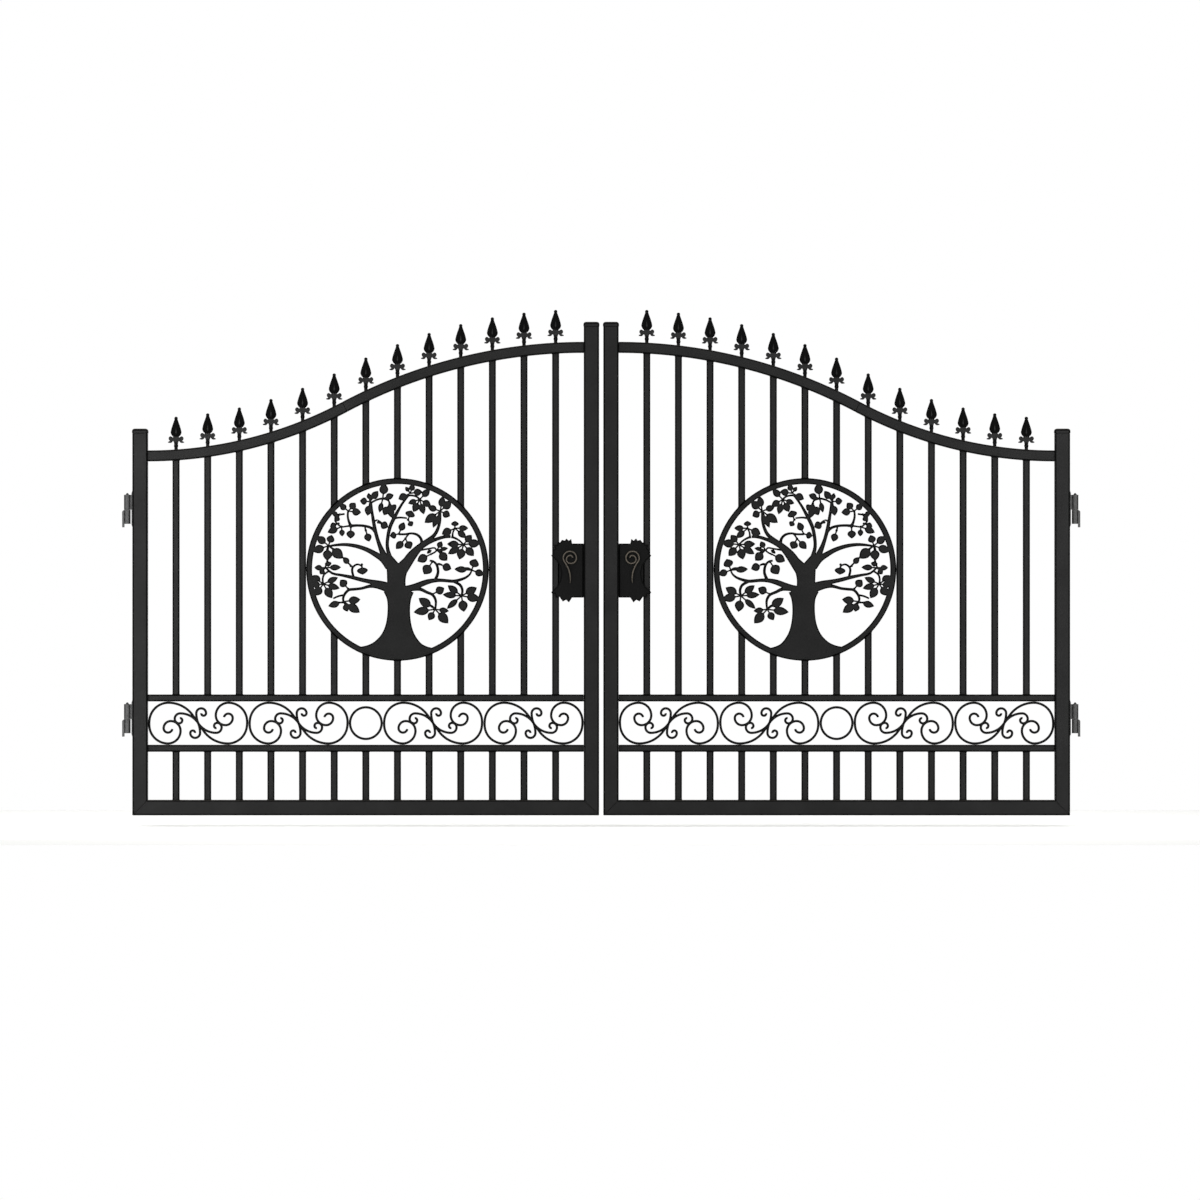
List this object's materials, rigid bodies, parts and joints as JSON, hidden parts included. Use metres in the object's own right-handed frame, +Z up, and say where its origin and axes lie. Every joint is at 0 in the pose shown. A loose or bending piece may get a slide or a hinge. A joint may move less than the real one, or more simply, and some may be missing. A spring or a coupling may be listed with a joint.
{
  "type": "double swing driveway gate",
  "caption": "Wrought iron double driveway gate with swept top rails, spear finials, tree medallions, scroll frieze, lock plates and weld-on barrel hinges; each leaf swings on its own pins.",
  "frame": {"origin": "Middle of the flat outer face of the left lower hinge's post plate.", "axes": "+X along the gate to the right as seen from the front, +Y away from the front, +Z up."},
  "size_m": [4.361, 0.073, 2.301],
  "materials": {
    "black_coated_steel": "satin"
  },
  "bodies": {
    "post_hinges": {"left_upper_hinge_post_half": "black_coated_steel", "left_lower_hinge_post_half": "black_coated_steel", "right_upper_hinge_post_half": "black_coated_steel", "right_lower_hinge_post_half": "black_coated_steel"},
    "left_leaf": {"left_hinge_stile": "black_coated_steel", "left_hinge_stile_cap": "black_coated_steel", "left_meeting_stile": "black_coated_steel", "left_meeting_stile_cap": "black_coated_steel", "left_bottom_rail": "black_coated_steel", "left_top_rail_lower_sweep": "black_coated_steel", "left_top_rail_upper_sweep": "black_coated_steel", "left_frieze_upper_rail": "black_coated_steel", "left_frieze_lower_rail": "black_coated_steel", "left_long_pickets": "black_coated_steel", "left_short_pickets": "black_coated_steel", "left_spear_finials": "black_coated_steel", "left_tree_medallion": "black_coated_steel", "left_frieze_scrolls": "black_coated_steel", "left_frieze_ring": "black_coated_steel", "left_lock_plate": "black_coated_steel", "left_lock_plate_curl": "black_coated_steel", "left_upper_hinge_gate_half": "black_coated_steel", "left_lower_hinge_gate_half": "black_coated_steel"},
    "right_leaf": {"right_hinge_stile": "black_coated_steel", "right_hinge_stile_cap": "black_coated_steel", "right_meeting_stile": "black_coated_steel", "right_meeting_stile_cap": "black_coated_steel", "right_bottom_rail": "black_coated_steel", "right_top_rail_lower_sweep": "black_coated_steel", "right_top_rail_upper_sweep": "black_coated_steel", "right_frieze_upper_rail": "black_coated_steel", "right_frieze_lower_rail": "black_coated_steel", "right_long_pickets": "black_coated_steel", "right_short_pickets": "black_coated_steel", "right_spear_finials": "black_coated_steel", "right_tree_medallion": "black_coated_steel", "right_frieze_scrolls": "black_coated_steel", "right_frieze_ring": "black_coated_steel", "right_lock_plate": "black_coated_steel", "right_lock_plate_curl": "black_coated_steel", "right_upper_hinge_gate_half": "black_coated_steel", "right_lower_hinge_gate_half": "black_coated_steel"}
  },
  "joints": [
    {"name": "left_leaf_swing", "type": "hinge", "parent": "post_hinges", "child": "left_leaf", "pos_m": [0.023, 0, 0], "axis": [0, 0, 1], "range_deg": [-90, 90]},
    {"name": "right_leaf_swing", "type": "hinge", "parent": "post_hinges", "child": "right_leaf", "pos_m": [4.338, 0, 0], "axis": [0, 0, -1], "range_deg": [-90, 90]}
  ]
}
